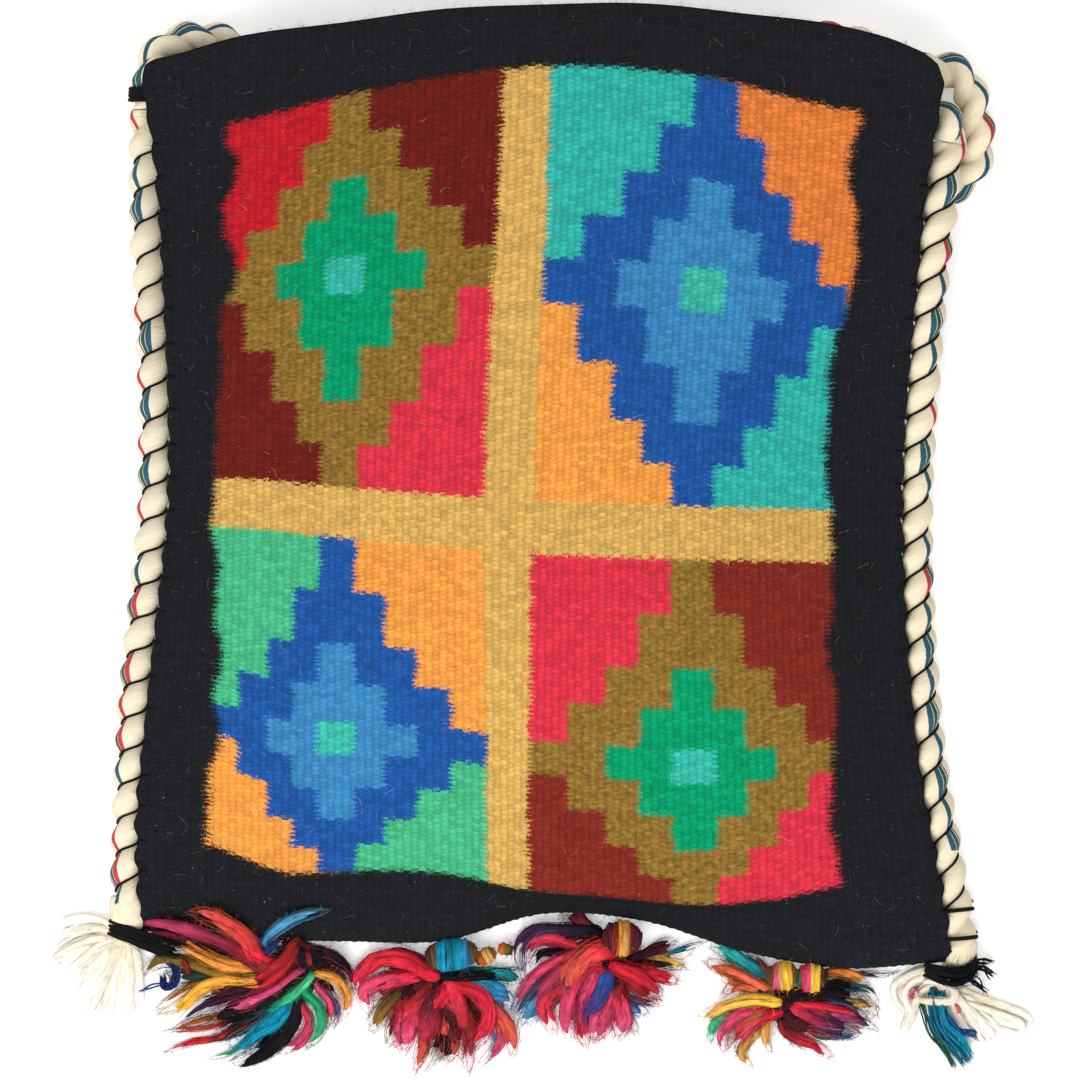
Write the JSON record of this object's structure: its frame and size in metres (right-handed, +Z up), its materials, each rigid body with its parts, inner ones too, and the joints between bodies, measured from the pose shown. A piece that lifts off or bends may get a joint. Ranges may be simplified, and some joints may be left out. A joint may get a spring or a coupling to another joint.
{
  "type": "shoulder bag",
  "caption": "Flat handwoven wool pouch lying on its back, edged and carried by a twisted rope, with stepped diamonds on its front and tassels along its fold.",
  "frame": {"origin": "on the surface the bag lies on, under the middle of its outline with the strap left out", "axes": "+X across the bag to the right of its front, +Y from the tasselled fold to the mouth, +Z up out of the front"},
  "size_m": [0.3375, 0.3651, 0.0305],
  "materials": {
    "woven_cloth": "matt weft-faced wool weave, black border with stepped diamonds in several colours",
    "rope_wool": "matt handspun cream wool, twisted",
    "black_yarn": "matt black wool yarn",
    "tassel_wool": "matt loose wool yarn in red and mixed colours"
  },
  "bodies": {
    "root": {"woven_body": "woven_cloth", "left_side_rope": "rope_wool", "right_side_rope": "rope_wool", "strap": "rope_wool", "left_rope_wrap": "black_yarn", "right_rope_wrap": "black_yarn", "left_rope_tassel": "rope_wool", "right_rope_tassel": "rope_wool", "tassel_1_head": "tassel_wool", "tassel_1_skirt": "tassel_wool", "tassel_2_head": "tassel_wool", "tassel_2_skirt": "tassel_wool", "tassel_3_head": "tassel_wool", "tassel_3_skirt": "tassel_wool", "tassel_4_head": "tassel_wool", "tassel_4_skirt": "tassel_wool"}
  },
  "joints": []
}
